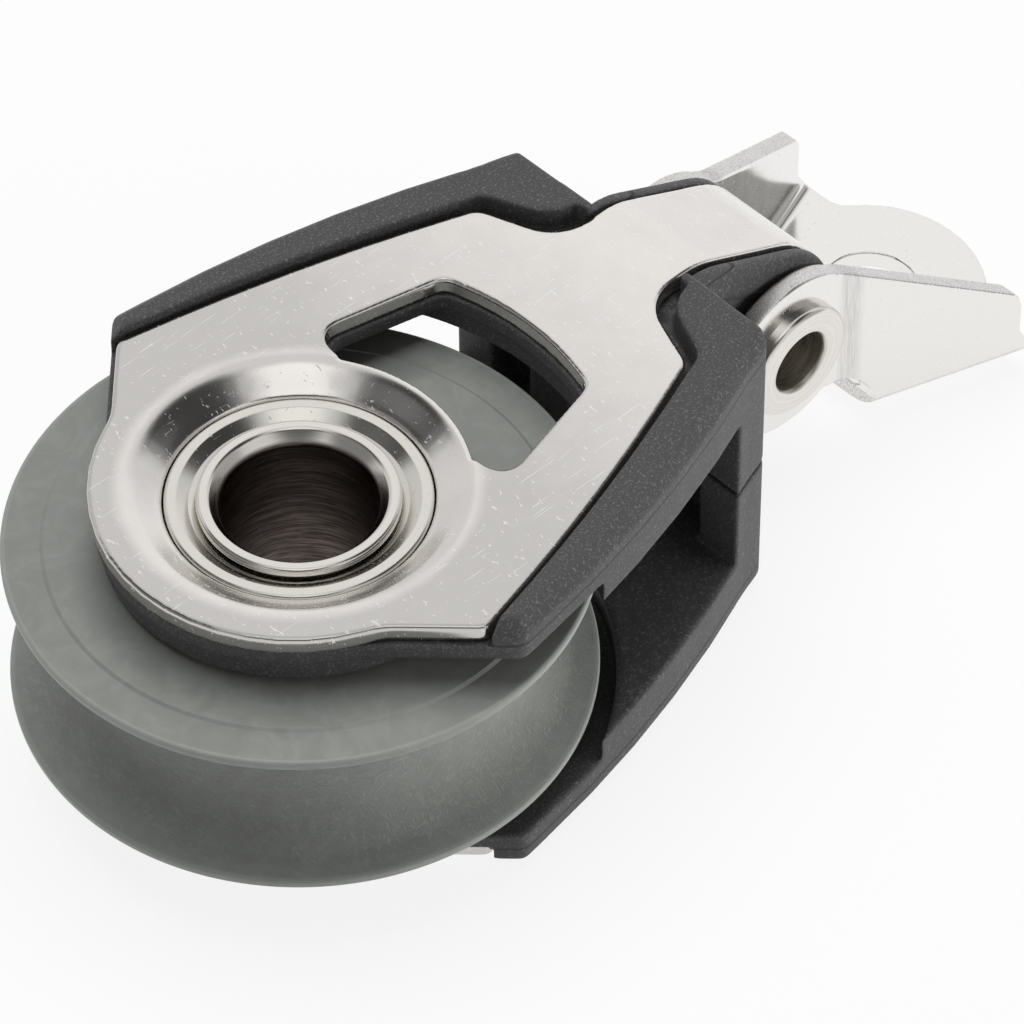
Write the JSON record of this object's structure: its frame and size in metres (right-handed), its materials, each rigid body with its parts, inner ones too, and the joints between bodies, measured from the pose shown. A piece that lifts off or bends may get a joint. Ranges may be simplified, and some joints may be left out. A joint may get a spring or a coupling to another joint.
{
  "type": "single sheave block with pivoting head bracket",
  "caption": "Plain bearing block for a dinghy: grooved sheave on a hollow axle between moulded cheeks in a folded steel strap, with a forked bracket pivoting on a hollow rivet at its head.",
  "frame": {"origin": "centre of the axle, midway between the two cheeks", "axes": "+Z along the axle towards the upper cheek, +X from the axle to the head and its bracket, +Y to the left of the head"},
  "size_m": [0.0838, 0.04, 0.0244],
  "materials": {
    "strap_steel": "tumbled, satin bright",
    "cheek_nylon": "fine moulded texture",
    "sheave_acetal": "turned, satin",
    "bush_bronze": "turned",
    "axle_steel": "turned, polished lips",
    "ring_steel": "satin",
    "thrust_plastic": "smooth",
    "sleeve_steel": "turned",
    "rivet_steel": "satin bright",
    "bracket_steel": "polished"
  },
  "bodies": {
    "block": {"strap": "strap_steel", "upper_cheek": "cheek_nylon", "lower_cheek": "cheek_nylon", "axle_tube": "axle_steel", "upper_axle_ring": "ring_steel", "lower_axle_ring": "ring_steel", "upper_thrust_washer": "thrust_plastic", "lower_thrust_washer": "thrust_plastic", "head_sleeve": "sleeve_steel"},
    "sheave": {"sheave": "sheave_acetal", "sheave_bush": "bush_bronze"},
    "bracket": {"bracket": "bracket_steel", "head_rivet": "rivet_steel", "near_rivet_washer": "ring_steel", "far_rivet_washer": "ring_steel"}
  },
  "joints": [
    {"name": "sheave_spin", "type": "hinge", "parent": "block", "child": "sheave", "pos_m": [0, 0, 0], "axis": [0, 0, 1], "continuous": true},
    {"name": "bracket_pivot", "type": "hinge", "parent": "block", "child": "bracket", "pos_m": [0.0397, 0, 0], "axis": [0, 1, 0], "range_deg": [-110, 50]}
  ]
}
